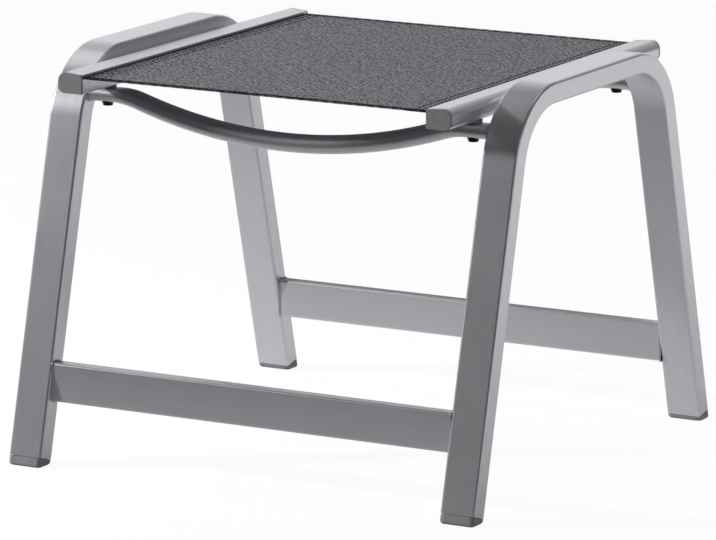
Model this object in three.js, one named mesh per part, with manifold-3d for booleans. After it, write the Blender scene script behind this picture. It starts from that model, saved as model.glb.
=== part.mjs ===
// Outdoor ottoman footstool. Two side frames of bent flat tube are joined by two low stretchers and two
// dipped round seat bars. Two extruded rails are bolted above the seat bars and stretch a sling between them.
// Millimetres: X runs to the right, -Y to the front, Z up. The origin is on the floor, in the middle.
import * as THREE from 'three';
import { mergeVertices } from 'three/addons/utils/BufferGeometryUtils.js';
import Module from 'manifold-3d';

// Whole stool
const stoolWidth = 532; // over the outer sides of the side frames
const stoolHeight = 410; // floor to the top of the side frames
const shoulderReach = 158; // middle to where the lines of a frame's top and leg cross
const legSplay = THREE.MathUtils.degToRad(14.2);
const seatGap = 0.3; // between a piece and what carries it
const cutOverrun = 5; // how far a cutting solid runs past the face it cuts

// Side frames
const frameTubeBreadth = 38; // across X
const frameTubeDepth = 21.5;
const frameTubeCorner = 4.5;
const frameTubeWall = 1.8;
const frameBendRadius = 86; // outside of the bends

// Foot plugs
const footRise = 5; // floor to the tube's end, where it is lowest
const footEdgeRadius = 2.5;
const footStemLength = 26;
const footStemRelief = 2.2; // between the stem and the tube around it
const footBarbPitch = 7;

// Stretchers
const stretcherHeight = 40;
const stretcherDepth = 15;
const stretcherCorner = 2.5;
const stretcherWall = 1.5;
const stretcherLift = 64; // floor to the lower edge

// Seat bars
const barDiameter = 19;
const barWall = 1.8;
const barEndHeight = 15; // the ends are pressed flat
const barDrop = 35; // top of the side frames to the top of the bars' ends
const barDip = 31; // how far the middle lies below the ends
const barShoulderRadius = 100; // where the ends bend down

// Seat rails
const railLength = 447;
const railWidth = 27.5;
const railInnerHeight = 18; // at the side that faces the sling
const railCrownHeight = 21;
const railTopRadius = 10;
const railBottomRadius = 7;
const railWall = 1.8;
const railSideGap = 5.8; // between a rail and the side frame beside it

// Keder slots in the rails, and the sling they hold
const kederBoreRadius = 2.9;
const kederWall = 1.3;
const kederSlotHeight = 2.4;
const kederSlotRise = 0.7; // middle of the slot above the middle of the bore
const slingThickness = 1;
const slingSleeveWall = 0.8;
const slingEndSetback = 1.3; // rail end to sling edge, at the rails
const slingSag = 1.5;
const slingEdgeCurve = 3; // how far the free edges curve in

// Rail end caps
const capThickness = 2.5;
const capEdge = 0.6;
const capStemLength = 12;

// Bolts, washers, spacers and nuts
const boltRadius = 3;
const boltClearance = 0.5; // around the bolt, in tubes and rails
const boltHeadRadius = 5.2;
const boltHeadHeight = 2.4;
const boltHeadEdge = 0.8;
const boltSocketRadius = 2.3; // to the corners of the hexagon
const boltSocketDepth = 1.4;
const boltTipLength = 2; // past the nut
const washerRadius = 6.2;
const washerThickness = 0.8;
const spacerRadius = 9;
const spacerEdge = 0.6;
const standoffHeight = 4; // between a seat bar and the rails
const nutRadius = 5.7; // to the corners of the hexagon
const nutHeight = 5;

// Counts
const cornerSteps = 3;
const bendSteps = 12;
const barSides = 16;
const barArcSteps = 16;
const barShoulderSteps = 4;
const roundSides = 16;
const railArcSteps = 5;
const railTopSteps = 6;
const hexagonSides = 6;
const footEdgeSteps = 3;
const footBarbs = 3;
const slingSteps = 16;
const rodSides = 12;

// Finishes
const aluminium = new THREE.MeshStandardMaterial({ color: 0xb7babd, roughness: 0.34, metalness: 0.9 });
const greyPlastic = new THREE.MeshStandardMaterial({ color: 0x6a6c6f, roughness: 0.55, metalness: 0 });
const blackPlastic = new THREE.MeshStandardMaterial({ color: 0x17181a, roughness: 0.6, metalness: 0 });
const lightPlastic = new THREE.MeshStandardMaterial({ color: 0xb4b6b8, roughness: 0.6, metalness: 0 });
const blackSteel = new THREE.MeshStandardMaterial({ color: 0x1e1f21, roughness: 0.4, metalness: 0.6 });
const plainSteel = new THREE.MeshStandardMaterial({ color: 0x8f9295, roughness: 0.4, metalness: 0.9 });
const slingFabric = new THREE.MeshStandardMaterial({ color: 0x66686b, roughness: 0.9, metalness: 0 });

// Sizes that follow from the ones above
const quarterTurn = Math.PI / 2;
const frameCentreX = (stoolWidth - frameTubeBreadth) / 2;
const frameInnerX = stoolWidth / 2 - frameTubeBreadth;
const bendCentreZ = stoolHeight - frameBendRadius;
const bendCentreReach = shoulderReach - (frameBendRadius * (1 - Math.sin(legSplay))) / Math.cos(legSplay);
const barTopHeight = stoolHeight - barDrop;
const barMiddleHeight = barTopHeight - barEndHeight / 2;
const railOuterX = frameInnerX - railSideGap;
const railInnerX = railOuterX - railWidth;
const railBottomZ = barTopHeight + standoffHeight;
const boltX = railInnerX + railWidth / 2;
const boltHoleRadius = boltRadius + boltClearance;
const washerHoleRadius = boltRadius + seatGap;
const kederX = railWall + kederBoreRadius;
const kederZ = railInnerHeight - kederWall - kederBoreRadius;
const kederTubeRadius = kederBoreRadius + kederWall;
const sleeveRadius = kederBoreRadius - seatGap;
const sleeveBoreRadius = sleeveRadius - slingSleeveWall;
const rodRadius = sleeveBoreRadius - seatGap;
const slingReach = railLength / 2 - slingEndSetback;

const seatBarReach = frameReachAt(barMiddleHeight) - (barEndHeight + barSpread(barEndHeight)) / 2;
const stretcherReach = frameReachAt(stretcherLift + stretcherHeight) - stretcherDepth / 2;
const footReach = frameReachAt(0) - frameTubeDepth / 2 / Math.cos(legSplay);
const washerZ = barTopHeight - barEndHeight - seatGap - washerThickness;

const wasm = await Module();
wasm.setup();

// How far the outer faces of the side frames reach from the middle, at a height above the floor.
function frameReachAt(height) {
  const tangentZ = bendCentreZ + frameBendRadius * Math.sin(legSplay);
  if (height > tangentZ) {
    return bendCentreReach + Math.sqrt(frameBendRadius ** 2 - (height - bendCentreZ) ** 2);
  }
  return shoulderReach + (stoolHeight - height) * Math.tan(legSplay);
}

// How much wider than high a seat bar is where it is pressed down to a height. Pressing keeps its girth.
function barSpread(height) {
  return (Math.PI * (barDiameter - height)) / 2;
}

// A solid for cutting and joining, from a closed geometry.
function solidOf(geometry) {
  const bare = geometry.clone();
  bare.deleteAttribute('normal');
  bare.deleteAttribute('uv');
  const merged = mergeVertices(bare);
  const vertProperties = new Float32Array(merged.getAttribute('position').array);
  const triVerts = new Uint32Array(merged.getIndex().array);
  return new wasm.Manifold(new wasm.Mesh({ numProp: 3, vertProperties, triVerts }));
}

// The geometry of a cut or joined solid.
function geometryOf(solid) {
  const mesh = solid.getMesh();
  const geometry = new THREE.BufferGeometry();
  geometry.setAttribute('position', new THREE.BufferAttribute(mesh.vertProperties, mesh.numProp));
  geometry.setIndex(new THREE.BufferAttribute(mesh.triVerts, 1));
  geometry.computeVertexNormals();
  return geometry;
}

// The corners of a rectangle with rounded corners, anticlockwise round the origin.
function roundedRectangle(width, height, radius) {
  const points = [];
  for (let corner = 0; corner < 4; corner += 1) {
    const right = corner === 0 || corner === 3;
    const upper = corner < 2;
    const centreX = (right ? 1 : -1) * (width / 2 - radius);
    const centreY = (upper ? 1 : -1) * (height / 2 - radius);
    for (let step = 0; step <= cornerSteps; step += 1) {
      const angle = quarterTurn * (corner + step / cornerSteps);
      points.push(new THREE.Vector2(centreX + radius * Math.cos(angle), centreY + radius * Math.sin(angle)));
    }
  }
  return points;
}

// The wall of a flat tube in section.
function tubeSection(width, height, corner, wall) {
  const section = new THREE.Shape(roundedRectangle(width, height, corner));
  const inside = roundedRectangle(width - 2 * wall, height - 2 * wall, corner - wall);
  section.holes.push(new THREE.Path(inside));
  return section;
}

// A flat run of bends: one station for each ring of a swept section, with an axis that the path never leaves.
class BentLine extends THREE.Curve {
  constructor(stations, across) {
    super();
    this.stations = stations;
    this.across = across;
  }

  stationAt(share) {
    return this.stations[Math.round(share * (this.stations.length - 1))];
  }

  getPointAt(share, target = new THREE.Vector3()) {
    return target.copy(this.stationAt(share).point);
  }

  getTangentAt(share, target = new THREE.Vector3()) {
    return target.copy(this.stationAt(share).tangent);
  }

  computeFrenetFrames() {
    const tangents = this.stations.map((station) => station.tangent.clone());
    const normals = this.stations.map(() => this.across.clone());
    const binormals = tangents.map((tangent) => new THREE.Vector3().crossVectors(tangent, this.across));
    return { tangents, normals, binormals };
  }
}

function sweep(section, stations, across) {
  const extrudePath = new BentLine(stations, across);
  return new THREE.ExtrudeGeometry(section, { steps: stations.length - 1, extrudePath });
}

// An extrusion of a section drawn in X and Z, centred on Y.
function extrudeAlongY(section, length, curveSegments, bevel = {}) {
  const settings = { depth: length, bevelEnabled: false, curveSegments, ...bevel };
  const geometry = new THREE.ExtrudeGeometry(section, settings);
  geometry.translate(0, 0, -length / 2);
  geometry.rotateX(quarterTurn);
  return geometry;
}

// A turned piece from its profile of radius and height, anticlockwise, standing on Z.
function turned(profile, sides) {
  const points = profile.map(([radius, height]) => new THREE.Vector2(radius, height));
  const geometry = new THREE.LatheGeometry(points, sides);
  geometry.rotateX(quarterTurn);
  return geometry;
}

// A round cutter standing on Z, from one height to another.
function roundCutter(radius, low, high) {
  const geometry = new THREE.CylinderGeometry(radius, radius, high - low, roundSides);
  geometry.rotateX(quarterTurn);
  geometry.translate(0, 0, (low + high) / 2);
  return solidOf(geometry);
}

// A closed skin over rings of points, each ring anticlockwise when seen from the last one. It is closed with
// a flat face over the first and the last ring, or else by a join from the last ring to the first.
function loft(rings, joined = false) {
  const count = rings[0].length;
  const last = (rings.length - 1) * count;
  const faces = [];
  for (let low = 0; low < last + (joined ? count : 0); low += count) {
    const high = low < last ? low + count : 0;
    for (let point = 0; point < count; point += 1) {
      const next = (point + 1) % count;
      faces.push(low + point, low + next, high + next);
      faces.push(low + point, high + next, high + point);
    }
  }
  for (let point = 1; point < count - 1 && !joined; point += 1) {
    faces.push(0, point + 1, point);
    faces.push(last, last + point, last + point + 1);
  }
  const geometry = new THREE.BufferGeometry().setFromPoints(rings.flat());
  geometry.setIndex(faces);
  geometry.computeVertexNormals();
  return geometry;
}

// One side frame in its own plane, X = 0. The tube is bent twice and cut square at both feet.
function makeSideFrame() {
  const middleRadius = frameBendRadius - frameTubeDepth / 2;
  const front = [];
  for (let step = 0; step <= bendSteps; step += 1) {
    const angle = quarterTurn + (quarterTurn - legSplay) * (1 - step / bendSteps);
    const y = -bendCentreReach + middleRadius * Math.cos(angle);
    const z = bendCentreZ + middleRadius * Math.sin(angle);
    const tangent = new THREE.Vector3(0, Math.sin(angle), -Math.cos(angle));
    front.push({ point: new THREE.Vector3(0, y, z), tangent });
  }
  const legTangent = front[0].tangent;
  const endHeight = footRise + (frameTubeDepth / 2) * Math.sin(legSplay);
  const legLength = (front[0].point.z - endHeight) / Math.cos(legSplay);
  const footPoint = front[0].point.clone().addScaledVector(legTangent, -legLength);
  front.unshift({ point: footPoint, tangent: legTangent });
  const rear = front.map((station) => ({
    point: new THREE.Vector3(0, -station.point.y, station.point.z),
    tangent: new THREE.Vector3(0, station.tangent.y, -station.tangent.z),
  }));
  const section = tubeSection(frameTubeBreadth, frameTubeDepth, frameTubeCorner, frameTubeWall);
  return sweep(section, [...front, ...rear.reverse()], new THREE.Vector3(1, 0, 0));
}

// A foot plug of a front leg: a sole that stands level, and a barbed stem up the leg. Its origin is the
// point where the middle of the leg would meet the floor.
function makeFoot() {
  const along = new THREE.Vector3(0, Math.sin(legSplay), Math.cos(legSplay));
  const inward = new THREE.Vector3(0, Math.cos(legSplay), -Math.sin(legSplay));
  const tubeEnd = (footRise + (frameTubeDepth / 2) * Math.sin(legSplay)) / Math.cos(legSplay);
  const shoulder = tubeEnd - seatGap;
  const edge = Math.min(footEdgeRadius, footRise / 2, frameTubeCorner);
  const levelDepth = frameTubeDepth / Math.cos(legSplay);
  const levelRing = (inset, height) => {
    const corner = frameTubeCorner - inset / 2;
    const outline = roundedRectangle(frameTubeBreadth - 2 * inset, levelDepth - 2 * inset, corner);
    const lean = height * Math.tan(legSplay);
    return outline.map((point) => new THREE.Vector3(point.x, point.y + lean, height));
  };
  const squareRing = (inset, distance) => {
    const corner = Math.max(frameTubeCorner - inset, frameTubeWall / 2);
    const outline = roundedRectangle(frameTubeBreadth - 2 * inset, frameTubeDepth - 2 * inset, corner);
    return outline.map((point) => new THREE.Vector3(point.x, 0, 0)
      .addScaledVector(along, distance).addScaledVector(inward, point.y));
  };
  const rings = [];
  for (let step = 0; step <= footEdgeSteps; step += 1) {
    const angle = quarterTurn * (step / footEdgeSteps);
    rings.push(levelRing(edge * (1 - Math.sin(angle)), edge * (1 - Math.cos(angle))));
  }
  const stemInset = frameTubeWall + footStemRelief;
  const barbInset = frameTubeWall + seatGap;
  rings.push(squareRing(0, shoulder));
  rings.push(squareRing(stemInset, shoulder));
  for (let barb = 1; barb <= footBarbs; barb += 1) {
    const barbFoot = shoulder + barb * footBarbPitch;
    rings.push(squareRing(stemInset, barbFoot));
    rings.push(squareRing(barbInset, barbFoot));
    rings.push(squareRing(stemInset, barbFoot + footStemRelief));
  }
  rings.push(squareRing(stemInset, shoulder + footStemLength));
  return loft(rings);
}

// A stretcher: a straight flat tube on edge, from one side frame to the other. Its origin is its middle.
function makeStretcher() {
  const section = tubeSection(stretcherDepth, stretcherHeight, stretcherCorner, stretcherWall);
  const length = 2 * (frameInnerX - seatGap);
  const geometry = new THREE.ExtrudeGeometry(section, { depth: length, bevelEnabled: false });
  geometry.translate(0, 0, -length / 2);
  geometry.rotateX(quarterTurn);
  geometry.rotateZ(quarterTurn);
  return geometry;
}

// A ring of a seat bar's skin, or of its bore where it is drawn in by the wall.
function barRing({ x, z, angle, pressShare }, inset) {
  const height = THREE.MathUtils.lerp(barDiameter, barEndHeight, pressShare);
  const radius = (height / 2 - inset) / Math.cos(Math.PI / barSides);
  const ring = [];
  for (let side = 0; side < barSides; side += 1) {
    const turn = (2 * Math.PI * (side + 1 / 2)) / barSides;
    const across = radius * Math.cos(turn) + Math.sign(Math.cos(turn)) * (barSpread(height) / 2);
    const up = radius * Math.sin(turn);
    ring.push(new THREE.Vector3(x - up * Math.sin(angle), across, z + up * Math.cos(angle)));
  }
  return ring;
}

// A seat bar: a round tube that leaves the frames level, bends down and dips in one long arc. Its ends are
// pressed flat for the bolts. Its origin is in the middle, at the height of the middle of its ends.
function makeSeatBar() {
  const levelStart = boltX - spacerRadius - seatGap;
  const dipAngle = 2 * Math.atan(barDip / levelStart);
  const arcRadius = levelStart / Math.sin(dipAngle) - barShoulderRadius;
  const right = [];
  for (let step = 0; step <= barArcSteps / 2; step += 1) {
    const angle = dipAngle * (step / (barArcSteps / 2));
    const x = arcRadius * Math.sin(angle);
    const z = arcRadius * (1 - Math.cos(angle)) - barDip;
    right.push({ x, z, angle, pressShare: 0 });
  }
  for (let step = 1; step <= barShoulderSteps; step += 1) {
    const pressShare = step / barShoulderSteps;
    const angle = dipAngle * (1 - pressShare);
    const x = levelStart - barShoulderRadius * Math.sin(angle);
    const z = -barShoulderRadius * (1 - Math.cos(angle));
    right.push({ x, z, angle, pressShare });
  }
  right.push({ x: frameInnerX - seatGap, z: 0, angle: 0, pressShare: 1 });
  const left = right.slice(1).reverse().map((station) => ({ ...station, x: -station.x, angle: -station.angle }));
  const skin = [...left, ...right].map((station) => barRing(station, 0));
  const bore = [...left, ...right].map((station) => barRing(station, barWall));
  let bar = solidOf(loft([...skin, ...bore.reverse()], true));
  for (const side of [-1, 1]) {
    const hole = roundCutter(boltHoleRadius, -barEndHeight / 2 - cutOverrun, barEndHeight / 2 + cutOverrun);
    bar = bar.subtract(hole.translate([side * boltX, 0, 0]));
  }
  return geometryOf(bar);
}

// The outline of a seat rail, drawn in from its skin by an inset: flat below and towards the sling, with a
// crown that rolls over to the outer side. Its origin is the lower corner on the sling's side.
function railOutline(inset) {
  const right = railWidth - inset;
  const top = railCrownHeight - inset;
  const innerTop = railInnerHeight - inset;
  const crownX = railWidth - railTopRadius;
  const outline = new THREE.Shape();
  outline.moveTo(inset, inset);
  outline.lineTo(railWidth - railBottomRadius, inset);
  outline.absarc(railWidth - railBottomRadius, railBottomRadius, railBottomRadius - inset, -quarterTurn, 0);
  outline.lineTo(right, railCrownHeight - railTopRadius);
  outline.absarc(crownX, railCrownHeight - railTopRadius, railTopRadius - inset, 0, quarterTurn);
  outline.bezierCurveTo(crownX * (2 / 3), top, crownX / 3, innerTop, inset, innerTop);
  outline.closePath();
  return outline;
}

function pointsOf(outline) {
  const points = [];
  for (const curve of outline.curves) {
    const bent = curve.isEllipseCurve ? railArcSteps : railTopSteps;
    const steps = curve.isLineCurve ? 1 : bent;
    points.push(...curve.getPoints(steps).slice(0, -1));
  }
  return points;
}

function railSolid(inset, length) {
  return solidOf(extrudeAlongY(new THREE.Shape(pointsOf(railOutline(inset))), length));
}

// A round bar along Y at the place of the keder bore.
function kederCutter(radius, length) {
  const geometry = new THREE.CylinderGeometry(radius, radius, length, roundSides);
  geometry.translate(kederX, 0, kederZ);
  return solidOf(geometry);
}

// The right rail: a hollow extrusion with a keder channel in its top corner, open to the sling through a
// narrow slot, and two bolt holes in its floor.
function makeRail() {
  const throughLength = railLength + 2 * cutOverrun;
  const channel = kederCutter(kederTubeRadius, throughLength);
  const cavity = railSolid(railWall, throughLength).subtract(channel);
  const slotShape = new THREE.BoxGeometry(kederX + cutOverrun, throughLength, kederSlotHeight);
  slotShape.translate((kederX - cutOverrun) / 2, 0, kederZ + kederSlotRise);
  let rail = railSolid(0, railLength).subtract(cavity);
  rail = rail.subtract(kederCutter(kederBoreRadius, throughLength)).subtract(solidOf(slotShape));
  for (const side of [-1, 1]) {
    const hole = roundCutter(boltHoleRadius, -cutOverrun, railWall + seatGap);
    rail = rail.subtract(hole.translate([railWidth / 2, side * seatBarReach, 0]));
  }
  return geometryOf(rail);
}

// A cap for the right rail: a plate over the whole section, and a stem in the cavity on one side of it. Its
// origin is in the middle of the plate, at the rail's own origin.
function makeRailCap(stemSide) {
  const plateLength = capThickness - 2 * capEdge;
  const bevel = {
    bevelEnabled: true,
    bevelThickness: capEdge,
    bevelSize: capEdge,
    bevelOffset: -capEdge,
    bevelSegments: 1,
  };
  const plate = extrudeAlongY(new THREE.Shape(pointsOf(railOutline(0))), plateLength, railArcSteps, bevel);
  const stem = railSolid(railWall + seatGap, capStemLength);
  const channelSide = kederX + kederTubeRadius + seatGap;
  const keepClear = new THREE.BoxGeometry(channelSide, 2 * capStemLength, 2 * railCrownHeight);
  keepClear.translate(channelSide / 2, 0, 0);
  const seated = stem.subtract(solidOf(keepClear)).translate([0, (stemSide * capStemLength) / 2, 0]);
  return geometryOf(solidOf(plate).add(seated));
}

// The sling: a taut sheet with a little sag, whose side sleeves lie in the keder bores. Its free edges are
// curved in. Its origin is in the middle, at the height of the middle of the bores.
function makeSling() {
  const sleeveX = railInnerX + kederX;
  const sheetEnd = sleeveX - (sleeveRadius + sleeveBoreRadius) / 2;
  const upper = kederSlotRise + slingThickness / 2;
  const lower = kederSlotRise - slingThickness / 2;
  const sheet = new THREE.Shape();
  sheet.moveTo(-sheetEnd, lower);
  sheet.quadraticCurveTo(0, lower - 2 * slingSag, sheetEnd, lower);
  sheet.lineTo(sheetEnd, upper);
  sheet.quadraticCurveTo(0, upper - 2 * slingSag, -sheetEnd, upper);
  sheet.closePath();
  const cutLength = 2 * slingReach + 2 * cutOverrun;
  let sling = solidOf(extrudeAlongY(sheet, cutLength, slingSteps));
  for (const side of [-1, 1]) {
    const sleeve = new THREE.Shape();
    sleeve.absarc(side * sleeveX, 0, sleeveRadius, 0, 2 * Math.PI);
    const bore = new THREE.Path();
    bore.absarc(side * sleeveX, 0, sleeveBoreRadius, 0, 2 * Math.PI, true);
    sleeve.holes.push(bore);
    sling = sling.add(solidOf(extrudeAlongY(sleeve, cutLength, rodSides / 2)));
  }
  const planX = sleeveX + sleeveRadius + cutOverrun;
  const plan = new THREE.Shape();
  plan.moveTo(-planX, -slingReach);
  plan.quadraticCurveTo(0, -slingReach + 2 * slingEdgeCurve, planX, -slingReach);
  plan.lineTo(planX, slingReach);
  plan.quadraticCurveTo(0, slingReach - 2 * slingEdgeCurve, -planX, slingReach);
  plan.closePath();
  const height = 2 * (sleeveRadius + cutOverrun + slingSag);
  const trimmer = new THREE.ExtrudeGeometry(plan, { depth: height, bevelEnabled: false, curveSegments: slingSteps });
  trimmer.translate(0, 0, -height / 2);
  return geometryOf(sling.intersect(solidOf(trimmer)));
}

function makeKederRod() {
  return new THREE.CylinderGeometry(rodRadius, rodRadius, 2 * (slingReach - slingEndSetback), rodSides);
}

// A pan head bolt that points up, with a hexagon socket. Its origin is on the top of its head.
function makeBolt() {
  const nutTop = railWall + seatGap + nutHeight;
  const shankLength = seatGap + washerThickness + seatGap + barEndHeight + standoffHeight + nutTop + boltTipLength;
  const profile = [
    [0, -boltHeadHeight],
    [boltHeadRadius - boltHeadEdge, -boltHeadHeight],
    [boltHeadRadius, -boltHeadHeight + boltHeadEdge],
    [boltHeadRadius, 0],
    [boltRadius, 0],
    [boltRadius, shankLength - boltRadius / 4],
    [boltRadius * 0.75, shankLength],
    [0, shankLength],
  ];
  const socket = new THREE.CylinderGeometry(boltSocketRadius, boltSocketRadius, 2 * boltSocketDepth, hexagonSides);
  socket.rotateX(quarterTurn);
  socket.translate(0, 0, -boltHeadHeight);
  return geometryOf(solidOf(turned(profile, roundSides)).subtract(solidOf(socket)));
}

// A flat ring that stands on its origin.
function makeWasher() {
  return turned([
    [washerHoleRadius, 0],
    [washerRadius, 0],
    [washerRadius, washerThickness],
    [washerHoleRadius, washerThickness],
    [washerHoleRadius, 0],
  ], roundSides);
}

// A thick ring with broken edges, as high as the space between bar and rail less its two gaps.
function makeSpacer() {
  const height = standoffHeight - 2 * seatGap;
  return turned([
    [washerHoleRadius, 0],
    [spacerRadius - spacerEdge, 0],
    [spacerRadius, spacerEdge],
    [spacerRadius, height - spacerEdge],
    [spacerRadius - spacerEdge, height],
    [washerHoleRadius, height],
    [washerHoleRadius, 0],
  ], roundSides);
}

function makeNut() {
  const corners = [];
  for (let corner = 0; corner < hexagonSides; corner += 1) {
    const angle = (2 * Math.PI * corner) / hexagonSides;
    corners.push(new THREE.Vector2(nutRadius * Math.cos(angle), nutRadius * Math.sin(angle)));
  }
  const section = new THREE.Shape(corners);
  const bore = new THREE.Path();
  bore.absarc(0, 0, washerHoleRadius, 0, 2 * Math.PI, true);
  section.holes.push(bore);
  return new THREE.ExtrudeGeometry(section, { depth: nutHeight, bevelEnabled: false, curveSegments: roundSides / 2 });
}

const stool = new THREE.Group();

function place(name, geometry, material, position, turn = 0) {
  const mesh = new THREE.Mesh(geometry, material);
  mesh.name = name;
  mesh.position.set(...position);
  mesh.rotation.z = turn;
  stool.add(mesh);
}

function placeFasteners(corner, x, y) {
  place(`${corner}_bolt`, makeBolt(), blackSteel, [x, y, washerZ - seatGap]);
  place(`${corner}_washer`, makeWasher(), blackSteel, [x, y, washerZ]);
  place(`${corner}_spacer`, makeSpacer(), lightPlastic, [x, y, barTopHeight + seatGap]);
  place(`${corner}_nut`, makeNut(), plainSteel, [x, y, railBottomZ + railWall + seatGap]);
}

const sides = { left: -1, right: 1 };
const ends = { front: -1, rear: 1 };

for (const [sideName, side] of Object.entries(sides)) {
  const railTurn = side > 0 ? 0 : Math.PI;
  const kederPlace = [side * (railInnerX + kederX), 0, railBottomZ + kederZ];
  place(`${sideName}_side_frame`, makeSideFrame(), aluminium, [side * frameCentreX, 0, 0]);
  place(`${sideName}_seat_rail`, makeRail(), aluminium, [side * railInnerX, 0, railBottomZ], railTurn);
  place(`${sideName}_keder_rod`, makeKederRod(), blackPlastic, kederPlace);
  for (const [endName, end] of Object.entries(ends)) {
    const corner = `${endName}_${sideName}`;
    const capPlace = [side * railInnerX, end * (railLength / 2 + seatGap + capThickness / 2), railBottomZ];
    place(`${corner}_rail_cap`, makeRailCap(-end * side), greyPlastic, capPlace, railTurn);
    place(`${corner}_foot`, makeFoot(), greyPlastic, [side * frameCentreX, end * footReach, 0], end < 0 ? 0 : Math.PI);
    placeFasteners(corner, side * boltX, end * seatBarReach);
  }
}

for (const [endName, end] of Object.entries(ends)) {
  const stretcherZ = stretcherLift + stretcherHeight / 2;
  place(`${endName}_stretcher`, makeStretcher(), aluminium, [0, end * stretcherReach, stretcherZ]);
  place(`${endName}_seat_bar`, makeSeatBar(), aluminium, [0, end * seatBarReach, barMiddleHeight]);
}

place('sling', makeSling(), slingFabric, [0, 0, railBottomZ + kederZ]);

export default stool;
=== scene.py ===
# Outdoor ottoman footstool: a welded frame of satin aluminium tube, two bolted rails and a woven sling.
# Metres: X runs to the right, -Y to the front, Z up, with the origin on the floor under the middle.
import math
import bmesh
import bpy
from mathutils import Matrix, Vector


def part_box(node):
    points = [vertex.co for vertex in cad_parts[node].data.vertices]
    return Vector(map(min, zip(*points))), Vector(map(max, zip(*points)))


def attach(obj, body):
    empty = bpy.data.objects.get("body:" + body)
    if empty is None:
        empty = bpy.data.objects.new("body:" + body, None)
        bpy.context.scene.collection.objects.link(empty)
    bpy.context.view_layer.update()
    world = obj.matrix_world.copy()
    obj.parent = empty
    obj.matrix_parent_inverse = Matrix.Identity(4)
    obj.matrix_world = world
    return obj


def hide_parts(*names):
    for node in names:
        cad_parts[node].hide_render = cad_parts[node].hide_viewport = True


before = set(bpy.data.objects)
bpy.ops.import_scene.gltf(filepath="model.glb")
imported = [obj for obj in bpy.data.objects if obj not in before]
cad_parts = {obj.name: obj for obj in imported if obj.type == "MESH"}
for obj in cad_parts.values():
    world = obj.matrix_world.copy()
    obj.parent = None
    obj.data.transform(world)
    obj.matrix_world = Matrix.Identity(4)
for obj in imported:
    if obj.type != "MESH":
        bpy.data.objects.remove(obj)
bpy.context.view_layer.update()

# The photograph's viewpoint: a long lens to the right of the front, a little above the seat.
camera_azimuth = math.radians(29.31)
camera_elevation = math.radians(11.96)
camera_roll = math.radians(-0.15)
camera_distance = 5.673
camera_aim_right = -0.00628
camera_aim_height = 0.17882
camera_lens = 279.93  # millimetres, on a sensor 36 wide

level_turn = Matrix.Rotation(camera_azimuth, 3, "Z")
facing = level_turn @ Matrix.Rotation(math.pi / 2 - camera_elevation, 3, "X")
camera_aim = level_turn @ Vector((camera_aim_right, 0, 0)) + Vector((0, 0, camera_aim_height))
camera_place = camera_aim + facing @ Vector((0, 0, camera_distance))
camera_turn = (facing @ Matrix.Rotation(camera_roll, 3, "Z")).to_euler()
bpy.ops.object.select_all(action="DESELECT")
bpy.ops.object.camera_add(location=camera_place, rotation=camera_turn)
bpy.context.object.data.lens = camera_lens
bpy.context.scene.camera = bpy.context.object


# Side frames. Each is one flat aluminium tube, 38 by 21.5 mm, bent twice into an inverted U whose legs lean
# out, and cut square at the feet. The whole frame has a satin, matt anodised finish.
leg_splay = math.radians(14.2)
shoulder_reach = 0.158  # middle to where the lines of a frame's top and leg cross
tube_depth = 0.0215
tube_corner = 0.0027
tube_wall = 0.0018
bend_radius = 0.086  # outside of the bends
bend_steps = 36
corner_steps = 8
cut_edge_radius = 0.0003
frame_low, frame_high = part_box("right_side_frame")
tube_breadth = frame_high[0] - frame_low[0]
frame_inner_x = frame_low[0]
frame_centre_x = (frame_low[0] + frame_high[0]) / 2
across_stool = (-2 * frame_centre_x, 0, 0)
bend_centre_y = shoulder_reach - bend_radius * (1 - math.sin(leg_splay)) / math.cos(leg_splay)
bend_centre_z = frame_high[2] - bend_radius
leg_up = Vector((0, math.sin(leg_splay), math.cos(leg_splay)))
leg_end_height = frame_low[2] + tube_depth / 2 * math.sin(leg_splay)

aluminium_tone = (0.84, 0.84, 0.89, 1)
aluminium_shade = (0.76, 0.76, 0.81, 1)
aluminium_roughness = (0.28, 0.36)
die_line_scales = (1000, 1000, 26)  # twice across the tube, and along it
grit_share = 0.5  # of the marks on the metal, and the rest is die lines
cloud_share = 0.18  # of its tone, and the rest is those marks
cloud_span = (0.35, 0.65)  # of soft noise, which seldom leaves it
wide_cloud_span = (0.3, 0.7)
merge_distance = 0.000001


def set_sockets(tree, node, sockets):
    """Sets a node's sockets, each to a value or a link from another node's output."""
    for name, value in sockets.items():
        if isinstance(value, bpy.types.NodeSocket):
            tree.links.new(value, node.inputs[name])
        else:
            node.inputs[name].default_value = value


def add_node(tree, kind, sockets={}, **settings):
    """A shader node with its settings and sockets."""
    node = tree.nodes.new("ShaderNode" + kind)
    for name, value in settings.items():
        setattr(node, name, value)
    set_sockets(tree, node, sockets)
    return node


def noise(tree, place, scale, detail):
    """Soft noise, from nought to one."""
    return add_node(tree, "TexNoise", {"Vector": place, "Scale": scale, "Detail": detail}).outputs["Fac"]


def mixed(tree, share, first, second, kind="FLOAT"):
    """Two numbers mixed, or two colours or places."""
    node = add_node(tree, "Mix", {"Factor": share, "A": first, "B": second}, data_type=kind)
    return node.outputs["Result"]


def rescaled(tree, value, old, new=(0, 1), **settings):
    """A number carried from one range to another, and kept within it."""
    return add_node(tree, "MapRange", {"Value": value, "From Min": old[0], "From Max": old[1],
                                       "To Min": new[0], "To Max": new[1]}, **settings).outputs["Result"]


def vector_maths(tree, operation, first, second=(0, 0, 0)):
    """A vector from two others, or the number that a length or a dot product is."""
    node = add_node(tree, "VectorMath", {0: first, 1: second}, operation=operation)
    return node.outputs["Value" if operation in ("LENGTH", "DOT_PRODUCT") else "Vector"]


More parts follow.
